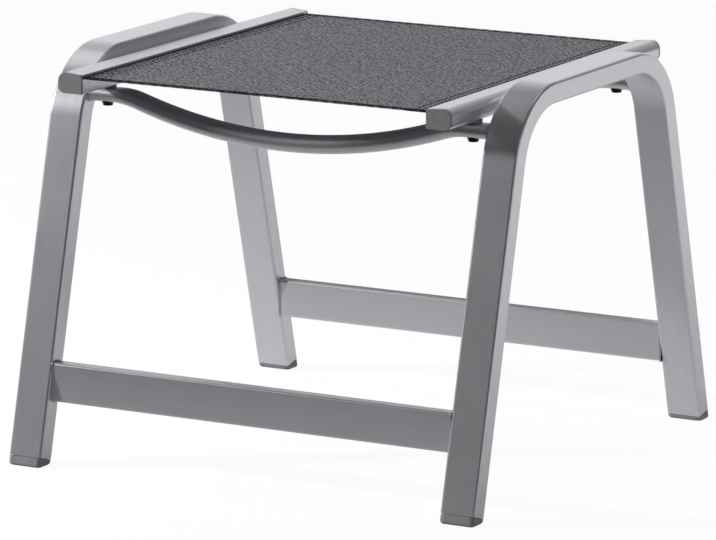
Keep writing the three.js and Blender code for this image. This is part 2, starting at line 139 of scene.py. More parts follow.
def new_group(name, takes, gives):
    """An empty shader group, with the nodes that hold what it takes and what it gives."""
    group = bpy.data.node_groups.new(name, "ShaderNodeTree")
    for socket, kind in takes.items():
        group.interface.new_socket(socket, in_out="INPUT", socket_type="NodeSocket" + kind)
    for socket, kind in gives.items():
        group.interface.new_socket(socket, in_out="OUTPUT", socket_type="NodeSocket" + kind)
    return group, group.nodes.new("NodeGroupInput"), group.nodes.new("NodeGroupOutput")


def make_tube_finish_group():
    """Fine die lines along the third axis of a place on a tube, with grit and soft clouds between them."""
    group, start, end = new_group("tube_finish", {"Place": "Vector"}, {"Tone": "Float", "Height": "Float"})
    place = start.outputs["Place"]
    stretched = vector_maths(group, "MULTIPLY", place, die_line_scales)
    lines = noise(group, stretched, scale=1.0, detail=2.0)
    clouds = noise(group, place, scale=16.0, detail=2.0)
    grit = noise(group, place, scale=1300.0, detail=1.0)
    marks = mixed(group, grit_share, lines, grit)
    set_sockets(group, end, {"Tone": mixed(group, cloud_share, marks, clouds), "Height": marks})
    return group


def new_material(name):
    """An empty material with its Principled shader."""
    material = bpy.data.materials.new(name)
    material.use_nodes = True
    return material, material.node_tree, material.node_tree.nodes["Principled BSDF"]


tube_finish = make_tube_finish_group()


def make_aluminium(name, shade, tone):
    """Satin aluminium, cloudy and lined along its tube as the piece's own tube_place tells."""
    material, tree, shader = new_material(name)
    place = add_node(tree, "Attribute", attribute_name="tube_place").outputs["Vector"]
    finish = add_node(tree, "Group", {"Place": place}, node_tree=tube_finish).outputs
    cloud = rescaled(tree, finish["Tone"], cloud_span)
    bump = add_node(tree, "Bump", {"Height": finish["Height"], "Distance": 0.000012, "Strength": 0.4})
    set_sockets(tree, shader, {
        "Base Color": mixed(tree, cloud, shade, tone, "RGBA"),
        "Roughness": rescaled(tree, finish["Tone"], wide_cloud_span, aluminium_roughness),
        "Normal": bump.outputs["Normal"], "Metallic": 0.62})
    return material


satin_aluminium = make_aluminium("satin_aluminium", aluminium_shade, aluminium_tone)


def lay_tube_place(piece, place_of):
    """Stores on a piece where its points lie on its tube: twice across it, then along it."""
    stored = piece.data.attributes.new("tube_place", "FLOAT_VECTOR", "POINT")
    for vertex in piece.data.vertices:
        stored.data[vertex.index].vector = place_of(vertex.co)


def begin(name, size=(1, 1, 1)):
    """Names the primitive just added, puts its place and size into its mesh and opens it in edit mode."""
    piece = bpy.context.object
    piece.name = name
    piece.data.name = name
    piece.scale = size
    bpy.ops.object.transform_apply(location=True, rotation=True, scale=True)
    bpy.ops.object.mode_set(mode="EDIT")
    return piece


def begin_plane(name, breadth, depth, place, turn):
    """A plane with its place and size in its mesh, open in edit mode."""
    bpy.ops.object.select_all(action="DESELECT")
    bpy.ops.mesh.primitive_plane_add(size=1, location=place, rotation=turn)
    return begin(name, (breadth, depth, 1))


def pick_all(kind=None):
    """Selects everything, as vertices, edges or faces if a kind is given."""
    if kind:
        bpy.ops.mesh.select_mode(type=kind)
    bpy.ops.mesh.select_all(action="SELECT")


def open_outline(corner, steps):
    """Rounds the corners of a plane and takes its face away, so that its outline is left to be pulled."""
    pick_all()
    bpy.ops.mesh.bevel(offset=corner, segments=steps, affect="VERTICES")
    pick_all()
    bpy.ops.mesh.delete(type="ONLY_FACE")
    pick_all("EDGE")


def pull(shift):
    """Extrudes the picked outline by a shift, which leaves its far end picked."""
    bpy.ops.mesh.extrude_edges_move(TRANSFORM_OT_translate={"value": shift})


def use_modifier(kind, **settings):
    """Adds a modifier to the active piece and applies it."""
    bpy.ops.object.modifier_add(type=kind)
    modifier = bpy.context.object.modifiers[-1]
    for name, value in settings.items():
        setattr(modifier, name, value)
    bpy.ops.object.modifier_apply(modifier=modifier.name)


def close_edit():
    """Merges doubles and points every face outwards, and leaves edit mode."""
    pick_all()
    bpy.ops.mesh.remove_doubles(threshold=merge_distance)
    bpy.ops.mesh.normals_make_consistent(inside=False)
    bpy.ops.object.mode_set(mode="OBJECT")


def thicken(wall, offset=-1):
    """Gives an open shell its wall, inwards unless told otherwise."""
    use_modifier("SOLIDIFY", thickness=wall, offset=offset, use_even_offset=True)


def smooth(degrees=32):
    """Shades the active piece smooth, but for edges sharper than this, with its flats kept flat."""
    bpy.ops.object.shade_smooth_by_angle(angle=math.radians(degrees))
    use_modifier("WEIGHTED_NORMAL", keep_sharp=True)


def make_active(piece):
    """Selects one piece alone."""
    bpy.ops.object.select_all(action="DESELECT")
    piece.select_set(True)
    bpy.context.view_layer.objects.active = piece


def copy_of(piece, name, shift=(0, 0, 0), half_turn=False):
    """A copy with its own mesh, moved and then, if asked, turned half round the stool's middle."""
    make_active(piece)
    bpy.ops.object.duplicate(linked=False)
    copy = bpy.context.object
    copy.name = name
    copy.data.name = name
    bpy.ops.transform.translate(value=shift)
    if half_turn:
        bpy.ops.transform.rotate(value=math.pi, orient_axis="Z", center_override=(0, 0, 0))
    bpy.ops.object.transform_apply(location=True, rotation=True, scale=True)
    return copy


def fit_out(piece, material, slot, *nodes):
    """Gives a finished piece its material and body, and the nodes that it stands for."""
    piece.data.materials.clear()
    piece.data.materials.append(material)
    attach(piece, "root")
    if nodes:
        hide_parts(*nodes)


middle_radius = bend_radius - tube_depth / 2
bend_angle = math.pi / 2 - leg_splay
bend_centre = Vector((frame_centre_x, -bend_centre_y, bend_centre_z))
leg_top = bend_centre - middle_radius * Vector((0, leg_up.z, -leg_up.y))
leg_length = (leg_top.z - leg_end_height) / leg_up.z
leg_foot = leg_top - leg_up * leg_length

right_frame = begin_plane("right_frame_tube", tube_breadth, tube_depth, leg_foot, (-leg_splay, 0, 0))
open_outline(tube_corner, corner_steps)
pull(leg_up * leg_length)
for y, run in ((-bend_centre_y, (0, 2 * bend_centre_y, 0)),
               (bend_centre_y, (0, leg_up.y * leg_length, -leg_up.z * leg_length))):
    bpy.ops.mesh.spin(steps=bend_steps, angle=bend_angle, center=(0, y, bend_centre_z), axis=(1, 0, 0))
    pull(run)
close_edit()
thicken(tube_wall)
use_modifier("BEVEL", width=cut_edge_radius, segments=2, limit_method="ANGLE", angle_limit=math.radians(60))
smooth()


def place_on_frame(spot):
    """Across the tube, down from its outside, and along it from the middle of its top."""
    out, up = abs(spot.y) - bend_centre_y, spot.z - bend_centre_z
    side = math.copysign(1, spot.y)
    turn = math.atan2(out, up)
    if out <= 0:
        return spot.x, bend_radius - up, spot.y
    if turn <= bend_angle:
        return spot.x, bend_radius - math.hypot(out, up), side * (bend_centre_y + middle_radius * turn)
    depth = bend_radius - out * leg_up.z - up * leg_up.y
    down = out * leg_up.y - up * leg_up.z
    return spot.x, depth, side * (bend_centre_y + middle_radius * bend_angle + down)


lay_tube_place(right_frame, place_on_frame)
left_frame = copy_of(right_frame, "left_frame_tube", shift=across_stool)
fit_out(right_frame, satin_aluminium, "frame_aluminium", "right_side_frame")
fit_out(left_frame, satin_aluminium, "frame_aluminium", "left_side_frame")


# Foot plugs. Four grey plastic plugs pressed into the legs: a stem inside the tube, a shoulder against its
# cut end, and a sole that stands level although the leg leans.
plug_gap = 0.0004  # shows as the dark line between tube and plug
plug_lip = 0.0007  # the shoulder stands out from the tube all round
plug_corner = 0.006
plug_edge_radius = 0.0034
plug_rim_radius = 0.0004
plug_stem_length = 0.026
plug_stem_gap = 0.0004  # between the stem and the tube's walls
plug_overrun = 0.02  # below the tube's end, before the sole is cut level
same_place = 0.00001  # how near two places count as one

plug_tone = (0.54, 0.54, 0.565, 1)
plug_shade = (0.46, 0.46, 0.48, 1)
roughness_play = 0.06  # of moulded plastic, up and down


def make_moulded_grain_group():
    """The fine grain of a spark-eroded mould, with slow clouds over it."""
    group, start, end = new_group("moulded_grain", {"Place": "Vector"},
                                  {"Cloud": "Float", "Height": "Float"})
    place = start.outputs["Place"]
    set_sockets(group, end, {"Cloud": noise(group, place, scale=120.0, detail=4.0),
                             "Height": noise(group, place, scale=1900.0, detail=2.0)})
    return group


moulded_grain = make_moulded_grain_group()


def own_place(tree):
    """Where a point lies on its own object."""
    return add_node(tree, "TexCoord").outputs["Object"]


def make_plastic(name, shade, tone, roughness):
    """Moulded plastic between two near colours, with a roughness that plays a little."""
    material, tree, shader = new_material(name)
    grain = add_node(tree, "Group", {"Place": own_place(tree)}, node_tree=moulded_grain).outputs
    play = (roughness - roughness_play, roughness + roughness_play)
    bump = add_node(tree, "Bump", {"Height": grain["Height"], "Distance": 0.00004, "Strength": 0.6})
    set_sockets(tree, shader, {
        "Base Color": mixed(tree, rescaled(tree, grain["Cloud"], cloud_span), shade, tone, "RGBA"),
        "Roughness": rescaled(tree, grain["Cloud"], (0, 1), play), "Normal": bump.outputs["Normal"]})
    return material


grey_plastic = make_plastic("grey_moulded_plastic", plug_shade, plug_tone, roughness=0.52)


def same(first, second):
    """Whether two places on a line are one."""
    return abs(first - second) < same_place


def pick(piece, kind, test):
    """Selects those vertices, edges or faces whose middle passes the test."""
    bpy.ops.mesh.select_mode(type=kind)
    bpy.ops.mesh.select_all(action="DESELECT")
    mesh = bmesh.from_edit_mesh(piece.data)
    things = {"VERT": mesh.verts, "EDGE": mesh.edges, "FACE": mesh.faces}[kind]
    for thing in things:
        points = [thing.co] if kind == "VERT" else [vertex.co for vertex in thing.verts]
        thing.select_set(bool(test(sum(points, Vector()) / len(points))))
    mesh.select_flush_mode()
    bmesh.update_edit_mesh(piece.data)


def push(shift):
    """Extrudes the picked faces by a shift."""
    bpy.ops.mesh.extrude_region_move(TRANSFORM_OT_translate={"value": shift})


plug_top = leg_foot - leg_up * plug_gap


def on_plug_top(spot):
    """Whether a place lies in the plane where the plug meets the tube."""
    return (spot - plug_top).dot(leg_up) > -same_place


front_right_plug = begin_plane("front_right_plug", tube_breadth + 2 * plug_lip, tube_depth + 2 * plug_lip,
                               plug_top, (-leg_splay, 0, 0))
pick_all()
bpy.ops.mesh.bevel(offset=plug_corner, segments=corner_steps, affect="VERTICES")
pick_all("FACE")
bpy.ops.mesh.duplicate()
push(-leg_up * plug_overrun)
pick_all()
bpy.ops.mesh.remove_doubles(threshold=merge_distance)
bpy.ops.mesh.bisect(plane_co=(0, 0, 0), plane_no=(0, 0, 1), use_fill=True, clear_inner=True)
pick_all()
bpy.ops.mesh.normals_make_consistent(inside=False)
pick(front_right_plug, "FACE", lambda middle: same(middle.z, 0))
bpy.ops.mesh.bevel(offset=plug_edge_radius, segments=6, affect="EDGES")
pick(front_right_plug, "FACE", on_plug_top)
bpy.ops.mesh.bevel(offset=plug_rim_radius, segments=3, affect="EDGES")
pick(front_right_plug, "FACE", on_plug_top)
bpy.ops.mesh.inset(thickness=tube_wall + plug_stem_gap + plug_lip)
push(leg_up * plug_stem_length)
close_edit()
smooth(degrees=35)
front_left_plug = copy_of(front_right_plug, "front_left_plug", shift=across_stool)
rear_left_plug = copy_of(front_right_plug, "rear_left_plug", half_turn=True)
rear_right_plug = copy_of(front_left_plug, "rear_right_plug", half_turn=True)
for corner, plug in {"front_right": front_right_plug, "front_left": front_left_plug,
                     "rear_left": rear_left_plug, "rear_right": rear_right_plug}.items():
    fit_out(plug, grey_plastic, "grey_plastic", f"{corner}_foot")


# Stretchers. Two straight flat tubes on edge, 40 by 15 mm, cut square and welded between the legs, with
# their upper edges in the middle of the legs' depth. A rippled bead of duller metal runs round each end.
stretcher_corner = 0.0025
stretcher_wall = 0.0015
stretcher_weld_depth = 0.0006  # how far the weld carries the tube's end into the leg
weld_tone = (0.66, 0.66, 0.7, 1)
weld_shade = (0.44, 0.44, 0.47, 1)
weld_radius = 0.0012
weld_ripple_share = 0.2
weld_ripple_turns = (2.1, 0.37)  # of a quick and a slow wave, from point to point
weld_corner_steps = 4
weld_long_cuts = 30
weld_metal = make_aluminium("satin_weld_metal", weld_shade, weld_tone)


def weld_round(name, centre, depth, height, corner):
    """A rippled bead of weld along the rounded rectangle where a tube's end meets a side frame."""
    bead = begin_plane(name, height, depth, centre, (0, math.pi / 2, 0))
    open_outline(corner, weld_corner_steps)
    pick(bead, "EDGE", lambda middle: same(middle.z, centre[2]) or same(middle.y, centre[1]))
    bpy.ops.mesh.subdivide(number_cuts=weld_long_cuts)
    bpy.ops.object.mode_set(mode="OBJECT")
    bpy.ops.object.convert(target="CURVE")
    bead.data.bevel_depth = weld_radius
    bead.data.bevel_resolution = 2
    quick, slow = weld_ripple_turns
    for place, point in enumerate(bead.data.splines[0].points):
        point.radius = 1 + weld_ripple_share * math.sin(quick * place) * math.cos(slow * place)
    bpy.ops.object.convert(target="MESH")
    bpy.ops.object.shade_smooth()
    lay_tube_place(bead, lambda spot: spot)
    fit_out(bead, weld_metal, "frame_aluminium")


for end in ("front", "rear"):
    low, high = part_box(f"{end}_stretcher")
    depth, height = high[1] - low[1], high[2] - low[2]
    y, z = (low[1] + high[1]) / 2, (low[2] + high[2]) / 2
    stretcher = begin_plane(f"{end}_stretcher_tube", height, depth, (low[0] - stretcher_weld_depth, y, z),
                            (0, math.pi / 2, 0))
    open_outline(stretcher_corner, corner_steps)
    pull((high[0] - low[0] + 2 * stretcher_weld_depth, 0, 0))
    close_edit()
    thicken(stretcher_wall)
    smooth()
    lay_tube_place(stretcher, lambda spot: (spot.y, spot.z, spot.x))
    fit_out(stretcher, satin_aluminium, "frame_aluminium", f"{end}_stretcher")
    for side, x in (("left", low[0]), ("right", high[0])):
        weld_round(f"{end}_{side}_stretcher_weld", (x, y, z), depth, height, stretcher_corner)


# Seat bars. Two round tubes, 19 mm across, that leave the frames level and dip in one long arc, so that the
# sling can give. Their ends are pressed flat where the rails are bolted on, and welded to the frames.
bar_diameter = 0.019
bar_wall = 0.0018
bar_end_height = 0.015
bar_dip = 0.031
bar_shoulder_radius = 0.1
bar_arc_steps = 24
bar_shoulder_steps = 10
bar_sides = 40
seat_gap = 0.0003  # between a piece and what it is seated on
bar_low, bar_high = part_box("rear_seat_bar")
bar_y = (bar_low[1] + bar_high[1]) / 2
bar_end_z = bar_high[2] - bar_end_height / 2
bar_level_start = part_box("rear_right_spacer")[0][0] - seat_gap
bar_dip_angle = 2 * math.atan(bar_dip / bar_level_start)
bar_arc_radius = bar_level_start / math.sin(bar_dip_angle) - bar_shoulder_radius


def bar_spread(height):
    """How much wider than high the tube is when pressed to a height, with its girth kept."""
    return math.pi * (bar_diameter - height) / 2


# The right half of the rear bar is spun from the middle outwards, pressed step by step, and then mirrored.
bpy.ops.object.select_all(action="DESELECT")
bpy.ops.mesh.primitive_circle_add(vertices=bar_sides, radius=bar_diameter / 2, rotation=(0, math.pi / 2, 0),
                                  location=(0, bar_y, bar_end_z - bar_dip))
rear_bar = begin("rear_seat_bar_tube")
pick_all("EDGE")
bpy.ops.mesh.spin(steps=bar_arc_steps, angle=bar_dip_angle, axis=(0, 1, 0),
                  center=(0, bar_y, bar_end_z - bar_dip + bar_arc_radius))
height = bar_diameter
for step in range(1, bar_shoulder_steps + 1):
    bpy.ops.mesh.spin(steps=1, angle=-bar_dip_angle / bar_shoulder_steps, axis=(0, 1, 0),
                      center=(bar_level_start, bar_y, bar_end_z - bar_shoulder_radius))
    share = step / bar_shoulder_steps
    pressed = bar_diameter + (bar_end_height - bar_diameter) * share * share * (3 - 2 * share)
    tilt = bar_dip_angle * (1 - share)
    ring_x = bar_level_start - bar_shoulder_radius * math.sin(tilt)
    ring_z = bar_end_z - bar_shoulder_radius * (1 - math.cos(tilt))
    bpy.ops.transform.resize(value=(1, pressed / height, pressed / height),
                             center_override=(ring_x, bar_y, ring_z))
    mesh = bmesh.from_edit_mesh(rear_bar.data)
    for vertex in mesh.verts:
        if vertex.select and not same(vertex.co.y, bar_y):
            side = math.copysign(1, vertex.co.y - bar_y)
            vertex.co.y += side * (bar_spread(pressed) - bar_spread(height)) / 2
    bmesh.update_edit_mesh(rear_bar.data)
    height = pressed
pull((frame_inner_x + bar_wall / 2 - bar_level_start, 0, 0))
bpy.ops.object.mode_set(mode="OBJECT")
use_modifier("MIRROR", use_axis=(True, False, False), use_clip=True, merge_threshold=same_place)
bpy.ops.object.mode_set(mode="EDIT")
close_edit()
thicken(bar_wall)
smooth(degrees=40)
lay_tube_place(rear_bar, lambda spot: (spot.y, spot.z, spot.x))
front_bar = copy_of(rear_bar, "front_seat_bar_tube", half_turn=True)
fit_out(rear_bar, satin_aluminium, "frame_aluminium", "rear_seat_bar")
fit_out(front_bar, satin_aluminium, "frame_aluminium", "front_seat_bar")
for end, y in (("front", -bar_y), ("rear", bar_y)):
    for side, x in (("left", bar_low[0]), ("right", bar_high[0])):
        weld_round(f"{end}_{side}_bar_weld", (x, y, bar_end_z), bar_high[1] - bar_low[1], bar_end_height,
                   bar_end_height / 2 - weld_radius)


# Seat rails. Two aluminium extrusions with a D section: flat below and towards the sling, rounded outside.
# A narrow slot in the inner side lets the sling in and holds its keder rod.
rail_inner_height = 0.0195
rail_top_radius = 0.0095
rail_bottom_radius = 0.007
rail_edge_radius = 0.0006
rail_crown_lift_share = 0.85  # of the outer corner's rise above the crown, before it is rounded off
rail_wall = 0.0018
rail_slot_middle = 0.016  # above the rail's floor
rail_slot_height = 0.0024
rail_low, rail_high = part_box("right_seat_rail")
rail_width = rail_high[0] - rail_low[0]
rail_crown_height = rail_high[2] - rail_low[2]
rail_length = rail_high[1] - rail_low[1]
slot_low = rail_low[2] + rail_slot_middle - rail_slot_height / 2
slot_high = rail_low[2] + rail_slot_middle + rail_slot_height / 2


def on_rail_side(spot):
    """Whether a place lies on the side that faces the sling."""
    return spot.x < rail_low[0] + same_place


def begin_rail_section(name, y):
    """The right rail's section as one face across Y, its corners rounded, its crown falling to the sling."""
    centre = ((rail_low[0] + rail_high[0]) / 2, y, (rail_low[2] + rail_high[2]) / 2)
    piece = begin_plane(name, rail_width, rail_crown_height, centre, (math.pi / 2, 0, 0))
    pick(piece, "VERT", lambda spot: on_rail_side(spot) and spot.z > rail_high[2] - same_place)
    bpy.ops.transform.translate(value=(0, 0, rail_inner_height - rail_crown_height))
    slope = (rail_crown_height - rail_inner_height) / (rail_width - rail_top_radius)
    lift = slope * rail_top_radius * rail_crown_lift_share
    pick(piece, "VERT", lambda spot: spot.z > rail_high[2] - same_place)
    bpy.ops.transform.translate(value=(0, 0, lift))
    for x, z, radius, steps in ((rail_high[0], rail_high[2] + lift, rail_top_radius, 14),
                                (rail_high[0], rail_low[2], rail_bottom_radius, 10),
                                (rail_low[0], rail_low[2], rail_edge_radius, 4),
                                (rail_low[0], rail_low[2] + rail_inner_height, rail_edge_radius, 4)):
        pick(piece, "VERT", lambda spot: same(spot.x, x) and same(spot.z, z))
        bpy.ops.mesh.bevel(offset=radius, segments=steps, affect="VERTICES")
    return piece


right_rail = begin_rail_section("right_rail_extrusion", rail_low[1])
pick_all()
bpy.ops.mesh.delete(type="ONLY_FACE")
pick(right_rail, "EDGE", on_rail_side)
bpy.ops.mesh.subdivide(number_cuts=2)
mesh = bmesh.from_edit_mesh(right_rail.data)
side_points = sorted((point for point in mesh.verts if on_rail_side(point.co)), key=lambda point: point.co.z)
for point, height in zip(side_points[1:-1], (slot_low, slot_high)):
    point.co.z = height
bmesh.update_edit_mesh(right_rail.data)
pick(right_rail, "EDGE", lambda middle: on_rail_side(middle) and slot_low < middle.z < slot_high)
bpy.ops.mesh.delete(type="EDGE")
pick_all()
pull((0, rail_length, 0))
close_edit()
thicken(rail_wall)
smooth(degrees=35)
lay_tube_place(right_rail, lambda spot: (spot.x, spot.z, spot.y))
left_rail = copy_of(right_rail, "left_rail_extrusion", half_turn=True)
fit_out(right_rail, satin_aluminium, "rail_aluminium", "right_seat_rail")
fit_out(left_rail, satin_aluminium, "rail_aluminium", "left_seat_rail")


# Rail end caps. Four grey plastic plates, 2.5 mm thick, whose outer rims are broken. Each has a stem behind
# it that is pressed into the rail's end.
cap_low, cap_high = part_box("front_right_rail_cap")
sling_low, sling_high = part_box("sling")
cap_front = cap_low[1]
cap_back = rail_low[1] - seat_gap
cap_edge = 0.0005
cap_stem_inset = rail_wall + seat_gap
cap_stem_overlap = 0.0001  # how far the stem starts inside the plate
cap_sleeve_gap = 0.0008  # between the stem and the sling's sleeve
front_right_cap = begin_rail_section("front_right_end_cap", cap_front)
pick_all("FACE")
push((0, cap_back - cap_front, 0))
pick_all()
bpy.ops.mesh.normals_make_consistent(inside=False)
pick(front_right_cap, "FACE", lambda middle: same(middle.y, cap_front))
bpy.ops.mesh.bevel(offset=cap_edge, segments=4, affect="EDGES")
close_edit()
begin_rail_section("front_right_cap_stem", cap_back - cap_stem_overlap)
pick_all("FACE")
bpy.ops.mesh.inset(thickness=cap_stem_inset)
bpy.ops.mesh.select_all(action="INVERT")
bpy.ops.mesh.delete(type="FACE")
pick_all()
bpy.ops.mesh.bisect(plane_co=(sling_high[0] + cap_sleeve_gap, 0, 0), plane_no=(1, 0, 0), clear_inner=True)
pick_all()
push((0, cap_high[1] - cap_back, 0))
close_edit()
front_right_cap.select_set(True)
bpy.context.view_layer.objects.active = front_right_cap
bpy.ops.object.join()
smooth(degrees=35)

# The rear right cap is mirrored front to back, and its faces are turned out again.
rear_right_cap = copy_of(front_right_cap, "rear_right_end_cap")
bpy.ops.transform.resize(value=(1, -1, 1), center_override=(0, 0, 0))
bpy.ops.object.transform_apply(location=True, rotation=True, scale=True)
bpy.ops.object.mode_set(mode="EDIT")
close_edit()
smooth(degrees=35)
front_left_cap = copy_of(rear_right_cap, "front_left_end_cap", half_turn=True)
rear_left_cap = copy_of(front_right_cap, "rear_left_end_cap", half_turn=True)
for corner, cap in {"front_right": front_right_cap, "rear_right": rear_right_cap,
                    "front_left": front_left_cap, "rear_left": rear_left_cap}.items():
    fit_out(cap, grey_plastic, "grey_plastic", f"{corner}_rail_cap")


# Fasteners. At each corner a black socket head bolt comes up through the bar's flat end, with a washer under
# its head, a light plastic spacer under the rail and a zinc plated nut inside it.
spacer_tone = (0.5, 0.5, 0.51, 1)
spacer_shade = (0.4, 0.4, 0.41, 1)
light_plastic = make_plastic("light_moulded_plastic", spacer_shade, spacer_tone, roughness=0.6)


def make_dark_steel():
    """Black oxide on steel, with a faint brown cloud where it is thin."""
    material, tree, shader = new_material("black_oxide_steel")
    cloud = noise(tree, own_place(tree), scale=420.0, detail=4.0)
    colour = mixed(tree, cloud, (0.012, 0.012, 0.013, 1), (0.034, 0.031, 0.029, 1), "RGBA")
    roughness = rescaled(tree, cloud, (0, 1), (0.32, 0.5))
    set_sockets(tree, shader, {"Base Color": colour, "Roughness": roughness, "Metallic": 0.5})
    return material


dark_steel = make_dark_steel()
bolt_sides = 40
shank_radius = 0.003
shank_tip_edge = 0.0006
socket_radius = 0.0023
socket_depth = 0.0014
head_edge = 0.0008
washer_edge = 0.0003
spacer_edge = 0.0006
bolt_low, bolt_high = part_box("front_right_bolt")
washer_low, washer_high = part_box("front_right_washer")
bolt_x = (bolt_low[0] + bolt_high[0]) / 2
bolt_y = (bolt_low[1] + bolt_high[1]) / 2
head_radius = (bolt_high[0] - bolt_low[0]) / 2
head_top = washer_low[2] - seat_gap


def add_cylinder(name, radius, low, high, sides=bolt_sides):
    """A solid cylinder on the bolt's axis between two heights, open in edit mode."""
    bpy.ops.object.select_all(action="DESELECT")
    bpy.ops.mesh.primitive_cylinder_add(vertices=sides, radius=radius, depth=high - low,
                                        location=(bolt_x, bolt_y, (low + high) / 2))
    return begin(name)


front_right_bolt = add_cylinder("front_right_socket_bolt", head_radius, bolt_low[2], head_top)
pick(front_right_bolt, "FACE", lambda middle: middle.z < bolt_low[2] + same_place)
bpy.ops.mesh.bevel(offset=head_edge, segments=5, affect="EDGES")
pick(front_right_bolt, "FACE", lambda middle: middle.z > head_top - same_place)
bpy.ops.mesh.inset(thickness=head_radius - shank_radius)
push((0, 0, bolt_high[2] - head_top))
bpy.ops.mesh.bevel(offset=shank_tip_edge, segments=1, affect="EDGES")
close_edit()
socket_cutter = add_cylinder("socket_cutter", socket_radius, bolt_low[2] - socket_depth,
                             bolt_low[2] + socket_depth, 6)
bpy.ops.object.mode_set(mode="OBJECT")
make_active(front_right_bolt)
use_modifier("BOOLEAN", object=socket_cutter, operation="DIFFERENCE", solver="EXACT")
bpy.data.objects.remove(socket_cutter)
smooth(degrees=30)


def make_ring(name, low, high, edge):
    """A flat ring round the bolt, its outer edges broken."""
    radius = (high[0] - low[0]) / 2
    ring = add_cylinder(name, radius, low[2], high[2])

    def at_an_end(middle):
        return same(middle.z, low[2]) or same(middle.z, high[2])

    pick(ring, "FACE", at_an_end)
    bpy.ops.mesh.bevel(offset=edge, segments=3, affect="EDGES")
    pick(ring, "FACE", at_an_end)
    bpy.ops.mesh.inset(thickness=radius - edge - shank_radius - seat_gap, use_individual=True)
    bpy.ops.mesh.bridge_edge_loops()
    close_edit()
    smooth(degrees=30)
    return ring


front_right_washer = make_ring("front_right_flat_washer", washer_low, washer_high, washer_edge)
front_right_spacer = make_ring("front_right_rail_spacer", *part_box("front_right_spacer"), spacer_edge)
for piece, material, slot, node in ((front_right_bolt, dark_steel, "black_steel", "bolt"),
                                    (front_right_washer, dark_steel, "black_steel", "washer"),
                                    (front_right_spacer, light_plastic, "light_plastic", "spacer")):
    name = piece.name
    left_piece = copy_of(piece, name.replace("right", "left"), shift=(-2 * bolt_x, 0, 0))
    rear_piece = copy_of(piece, name.replace("front", "rear"), shift=(0, -2 * bolt_y, 0))
    far_piece = copy_of(piece, name.replace("front_right", "rear_left"), half_turn=True)
    for corner, fastener in (("front_right", piece), ("front_left", left_piece),
                             ("rear_right", rear_piece), ("rear_left", far_piece)):
        fit_out(fastener, material, slot, f"{corner}_{node}")


def make_plain_steel():
    """Zinc plated steel, for the nuts inside the rails."""
    material, tree, shader = new_material("zinc_plated_steel")
    cloud = noise(tree, own_place(tree), scale=300.0, detail=3.0)
    colour = mixed(tree, cloud, (0.38, 0.39, 0.4, 1), (0.5, 0.51, 0.53, 1), "RGBA")
    set_sockets(tree, shader, {"Base Color": colour, "Metallic": 1, "Roughness": 0.35})
    return material


plain_steel = make_plain_steel()
black_plastic = make_plastic("black_keder_plastic", (0.01, 0.01, 0.011, 1), (0.016, 0.016, 0.017, 1),
                             roughness=0.5)
for name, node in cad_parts.items():
    if name.endswith("_nut") or name.endswith("_keder_rod"):
        node.data.materials.clear()
        node.data.materials.append(plain_steel if name.endswith("_nut") else black_plastic)


# Sling. One piece of coated woven yarn, cut to width and length, taut between the rails. Each side is turned
# round a keder rod in the rail, back through the slot, and sewn down below with two rows of stitches.
cloth_thickness = 0.0005
cloth_lie = 0.00055  # between the two layers of a hem, middle to middle
cloth_lift = 0.0006  # from where it leaves the rod, over the slot's lower lip
cloth_edge_curve = 0.0012
cloth_rows = 40
cloth_columns = 420
hem_width = 0.0252  # from the rail's inner side to the cut edge below
rod_low, rod_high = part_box("right_keder_rod")
rod_x = (rod_low[0] + rod_high[0]) / 2
rod_z = (rod_low[2] + rod_high[2]) / 2
sleeve_radius = (rod_high[2] - rod_low[2]) / 2 + seat_gap + cloth_thickness / 2
cloth_length = sling_high[1] - sling_low[1]
upper_layer_z = rail_low[2] + rail_slot_middle + cloth_lie / 2 - cloth_lift
lower_layer_z = upper_layer_z - cloth_lie
leave_angle = math.pi - math.asin((upper_layer_z - rod_z) / sleeve_radius)
return_angle = -math.pi - math.asin((lower_layer_z - rod_z) / sleeve_radius)
sheet_half = rod_x + sleeve_radius * math.cos(leave_angle)
sleeve_girth = sleeve_radius * (leave_angle - return_angle)
return_x = rod_x + sleeve_radius * math.cos(return_angle)
hem_end_x = rail_low[0] - hem_width
hem_run = return_x - hem_end_x
cloth_half = sheet_half + sleeve_girth + hem_run


def lift_at(x):
    """How far a layer has risen over the slot's lip, at a distance from the stool's middle."""
    return cloth_lift * min(1, max(0, (sheet_half - x) / (sheet_half - rail_low[0])))


def held_place(across, along):
    """Where a point of the flat cloth lies in the stool, from its way across and along the cut."""
    side = math.copysign(1, across)
    way = abs(across)
    pull_in = cloth_edge_curve * (1 - (min(way, sheet_half) / sheet_half) ** 2)
    y = along * (1 - 2 * pull_in / cloth_length)
    if way <= sheet_half:
        return Vector((side * way, y, upper_layer_z + lift_at(way)))
    if way <= sheet_half + sleeve_girth:
        angle = leave_angle - (way - sheet_half) / sleeve_radius
        return Vector((side * (rod_x + sleeve_radius * math.cos(angle)), y,
                       rod_z + sleeve_radius * math.sin(angle)))
    x = return_x - (way - sheet_half - sleeve_girth)
    return Vector((side * x, y, lower_layer_z + lift_at(x)))


pair_pitch = 0.0021  # of two flat yarns that lie side by side, each way
weave_repeat = 4.0  # yarn pairs, two over and two under
yarn_height_shares = (0.55, 0.45)  # what a yarn always has of its height, and what its bow adds or takes
gap_shade_share = 0.28  # of a yarn's roundness, below which it is painted dark: holes between the yarns, and painted shade where they part
slub_scale = 430.0
slub_stretch = (1.0, 0.55, 1.0)
slub_share = 0.55  # of a yarn's shade that its slubs give, and the rest is its dye
slub_span = (0.4, 0.6)
fleck_span = (0.29, 0.71)
fleck_share = 0.85  # of the cloth's shade that the yarns give, and the rest tells warp from weft
yarn_shade = (0.012, 0.012, 0.013, 1)
yarn_tone = (0.52, 0.535, 0.63, 1)


def maths(tree, operation, first, second=0.0):
    """A number from one or two others."""
    return add_node(tree, "Math", {0: first, 1: second}, operation=operation).outputs[0]


